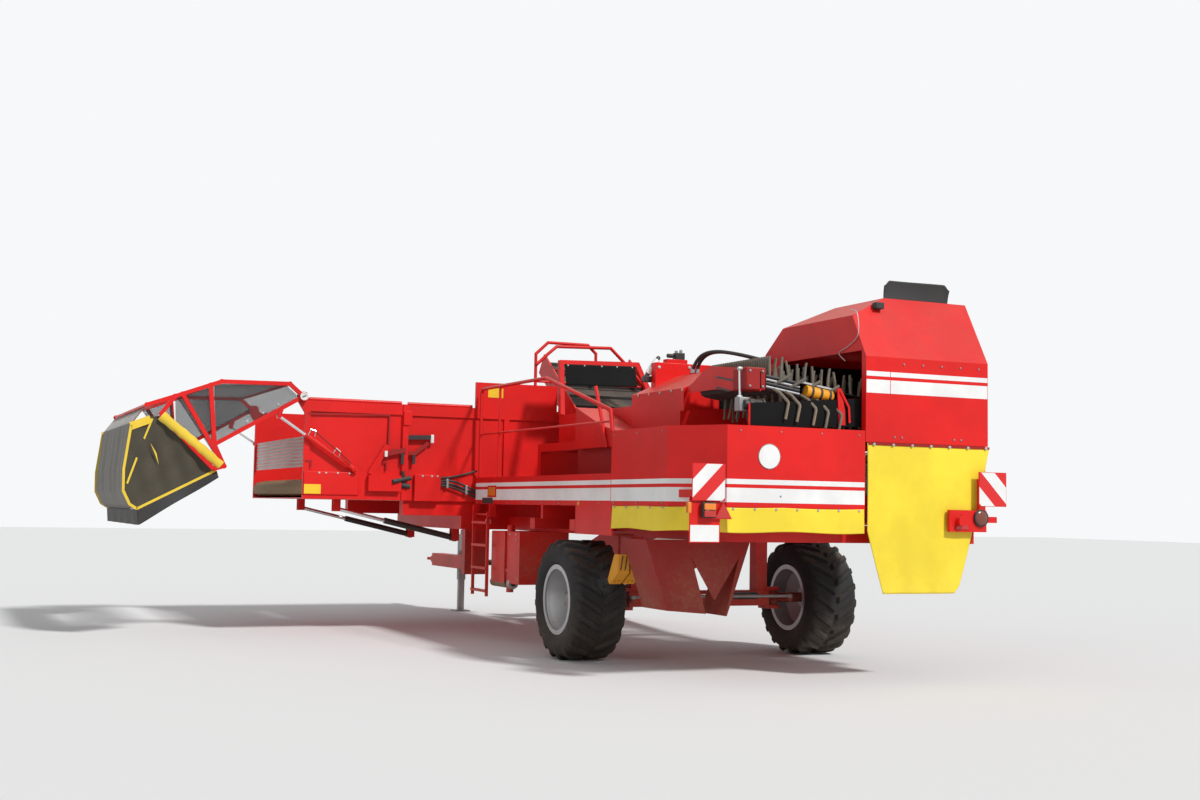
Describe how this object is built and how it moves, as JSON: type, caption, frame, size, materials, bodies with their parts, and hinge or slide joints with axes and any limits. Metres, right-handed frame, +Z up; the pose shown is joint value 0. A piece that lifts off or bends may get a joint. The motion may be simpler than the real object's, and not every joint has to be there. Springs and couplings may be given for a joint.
{
  "type": "trailed potato harvester",
  "caption": "Trailed side-elevated potato harvester: offset digging channel, cleaner and picking platform feed a cross bunker with a lifting head and folding discharge boom.",
  "frame": {"origin": "centre of the machine's bounding box, on the floor", "axes": "+Y forward towards the towing eye, +X to the machine's right, +Z up"},
  "size_m": [6.46, 9.344, 3.29],
  "materials": {
    "red_paint": "gloss agricultural red paint over pressed sheet and tube",
    "dark_red_paint": "weathered dark red paint",
    "black_paint": "satin black enamel",
    "grey_steel": "bare worn steel",
    "web_steel": "soil polished steel rods on rubber belts",
    "chromed_rod": "hard chromed cylinder rod",
    "rim_silver": "silver wheel enamel",
    "tyre_rubber": "matt black tyre rubber",
    "black_rubber": "matt black rubber",
    "yellow_rubber": "yellow rubber sheet",
    "yellow_plastic": "yellow moulded plastic",
    "yellow_fabric": "yellow coated sail cloth",
    "black_net": "black knitted netting"
  },
  "bodies": {
    "chassis": {"main_frame": "red_paint", "outriggers": "red_paint", "upper_frame": "red_paint", "axle_beam": "red_paint", "steer_barrel": "black_paint", "channel": "red_paint", "second_web": "web_steel", "rear_hood": "red_paint", "hood_flap": "black_rubber", "rear_curtain": "yellow_rubber", "rear_panels": "red_paint", "low_curtain": "yellow_rubber", "finger_web": "black_rubber", "cleaning_box": "red_paint", "picking_table": "red_paint", "picking_belt": "black_rubber", "filler_frame": "red_paint", "filler_belt": "black_rubber", "platform": "red_paint", "handrail": "red_paint", "bunker": "red_paint", "bunker_floor": "web_steel", "board_left": "red_paint", "board_right": "red_paint", "under_hopper": "dark_red_paint", "wheel_chocks": "yellow_plastic", "side_boxes": "red_paint", "pto_gearbox": "grey_steel", "hose_upper": "black_rubber", "hose_lower": "black_rubber"},
    "knuckle_l": {"knuckle_left": "dark_red_paint"},
    "knuckle_r": {"knuckle_right": "dark_red_paint"},
    "wheel_l": {"rim_left": "rim_silver", "tyre_left": "tyre_rubber"},
    "wheel_r": {"rim_right": "rim_silver", "tyre_right": "tyre_rubber"},
    "tie": {"tie_rod": "grey_steel"},
    "steer_ram": {"steer_rod": "chromed_rod"},
    "towbar": {"drawbar": "red_paint", "jack_tube": "grey_steel"},
    "jack": {"jack_leg": "grey_steel"},
    "swing_tube": {"drawbar_barrel": "black_paint"},
    "swing_ram": {"drawbar_rod": "chromed_rod"},
    "intake": {"intake_frame": "red_paint", "first_web": "web_steel"},
    "disc_l": {"disc_left": "grey_steel"},
    "disc_r": {"disc_right": "grey_steel"},
    "diabolo": {"diabolo_rollers": "grey_steel"},
    "intake_tubes": {"intake_barrels": "black_paint"},
    "intake_ram": {"intake_rods": "chromed_rod"},
    "head": {"bunker_head": "red_paint", "head_belt": "web_steel"},
    "head_tubes": {"head_barrels": "black_paint"},
    "head_ram": {"head_rods": "chromed_rod"},
    "boom": {"boom_frame": "red_paint", "boom_net": "black_net", "sail": "yellow_fabric"},
    "boom_tubes": {"boom_barrels": "black_paint"},
    "boom_ram": {"boom_rods": "chromed_rod"},
    "steps": {"ladder": "red_paint"}
  },
  "joints": [
    {"name": "steer_left", "type": "hinge", "parent": "chassis", "child": "knuckle_l", "pos_m": [0.82, -2.228, 0.53], "axis": [0, 0, 1], "range_deg": [-20, 20]},
    {"name": "steer_right", "type": "hinge", "parent": "chassis", "child": "knuckle_r", "pos_m": [2.44, -2.228, 0.53], "axis": [0, 0, 1], "range_deg": [-20.5, 20.5]},
    {"name": "wheel_left_spin", "type": "hinge", "parent": "knuckle_l", "child": "wheel_l", "pos_m": [0.44, -2.228, 0.53], "axis": [1, 0, 0], "continuous": true},
    {"name": "wheel_right_spin", "type": "hinge", "parent": "knuckle_r", "child": "wheel_r", "pos_m": [2.82, -2.228, 0.53], "axis": [1, 0, 0], "continuous": true},
    {"name": "tie_turn", "type": "hinge", "parent": "knuckle_l", "child": "tie", "pos_m": [0.82, -2.528, 0.547], "axis": [0, 0, 1], "range_deg": [-20.5, 20.5]},
    {"name": "steer_push", "type": "slide", "parent": "chassis", "child": "steer_ram", "axis": [1, 0, 0], "range_m": [-0.10572, 0.10572]},
    {"name": "drawbar_swing", "type": "hinge", "parent": "chassis", "child": "towbar", "pos_m": [1.27, 3.037, 0.64], "axis": [0, 0, 1], "range_deg": [-18, 18]},
    {"name": "jack_slide", "type": "slide", "parent": "towbar", "child": "jack", "axis": [0, 0, 1], "range_m": [0, 0.36]},
    {"name": "swing_tube_turn", "type": "hinge", "parent": "chassis", "child": "swing_tube", "pos_m": [1.74, 2.912, 0.64], "axis": [0, 0, 1], "range_deg": [-10.51, 10.51]},
    {"name": "swing_push", "type": "slide", "parent": "swing_tube", "child": "swing_ram", "axis": [-0.4444, 0.8958, 0], "range_m": [-0.11633, 0.11633]},
    {"name": "intake_lift", "type": "hinge", "parent": "chassis", "child": "intake", "pos_m": [2.491, -1.078, 1.29], "axis": [1, 0, 0], "range_deg": [-3.4, 2.4]},
    {"name": "disc_left_spin", "type": "hinge", "parent": "intake", "child": "disc_l", "pos_m": [1.84, 1.7853, 0.64001], "axis": [1, 0, 0], "continuous": true},
    {"name": "disc_right_spin", "type": "hinge", "parent": "intake", "child": "disc_r", "pos_m": [3.142, 1.7853, 0.64001], "axis": [1, 0, 0], "continuous": true},
    {"name": "diabolo_spin", "type": "hinge", "parent": "intake", "child": "diabolo", "pos_m": [2.491, 2.17983, 0.66916], "axis": [1, 0, 0], "continuous": true},
    {"name": "intake_tube_turn", "type": "hinge", "parent": "chassis", "child": "intake_tubes", "pos_m": [1.72, -1.278, 1.54], "axis": [1, 0, 0], "range_deg": [-3.28, 2.46]},
    {"name": "intake_push", "type": "slide", "parent": "intake_tubes", "child": "intake_ram", "axis": [0, 0.9965, -0.083], "range_m": [-0.01167, 0.0157]},
    {"name": "head_lift", "type": "hinge", "parent": "chassis", "child": "head", "pos_m": [-0.45, 1.572, 1.57], "axis": [0, 1, 0], "range_deg": [0, 30]},
    {"name": "head_tube_turn", "type": "hinge", "parent": "chassis", "child": "head_tubes", "pos_m": [0.27, 1.572, 1], "axis": [0, 1, 0], "range_deg": [-0.5, 12.29]},
    {"name": "head_push", "type": "slide", "parent": "head_tubes", "child": "head_ram", "axis": [-0.9752, 0, 0.2213], "range_m": [-0.002, 0.16418]},
    {"name": "boom_fold", "type": "hinge", "parent": "head", "child": "boom", "pos_m": [-1.52, 1.572, 2.41], "axis": [0, 1, 0], "range_deg": [0, 75]},
    {"name": "boom_tube_turn", "type": "hinge", "parent": "head", "child": "boom_tubes", "pos_m": [-0.97, 1.572, 1.69], "axis": [0, 1, 0], "range_deg": [-0.5, 15.37]},
    {"name": "boom_push", "type": "slide", "parent": "boom_tubes", "child": "boom_ram", "axis": [-0.8377, 0, 0.5461], "range_m": [-0.002, 0.26896]},
    {"name": "ladder_fold", "type": "hinge", "parent": "chassis", "child": "steps", "pos_m": [0.313, -0.018, 1.262], "axis": [0, 1, 0], "range_deg": [0, 160]}
  ],
  "couplings": [
    {"joint": "steer_right", "follows": "steer_left", "ratio": 1},
    {"joint": "tie_turn", "follows": "steer_left", "ratio": -1},
    {"joint": "steer_push", "follows": "steer_left", "m_per_rad": 0.3},
    {"joint": "swing_tube_turn", "follows": "drawbar_swing", "ratio": 0.55627},
    {"joint": "swing_push", "follows": "drawbar_swing", "m_per_rad": 0.36392},
    {"joint": "intake_tube_turn", "follows": "intake_lift", "ratio": 0.81625},
    {"joint": "intake_push", "follows": "intake_lift", "m_per_rad": -0.2309},
    {"joint": "head_tube_turn", "follows": "head_lift", "ratio": 0.39299},
    {"joint": "head_push", "follows": "head_lift", "m_per_rad": 0.30975},
    {"joint": "boom_tube_turn", "follows": "boom_fold", "ratio": 0.19825},
    {"joint": "boom_push", "follows": "boom_fold", "m_per_rad": 0.20394}
  ]
}
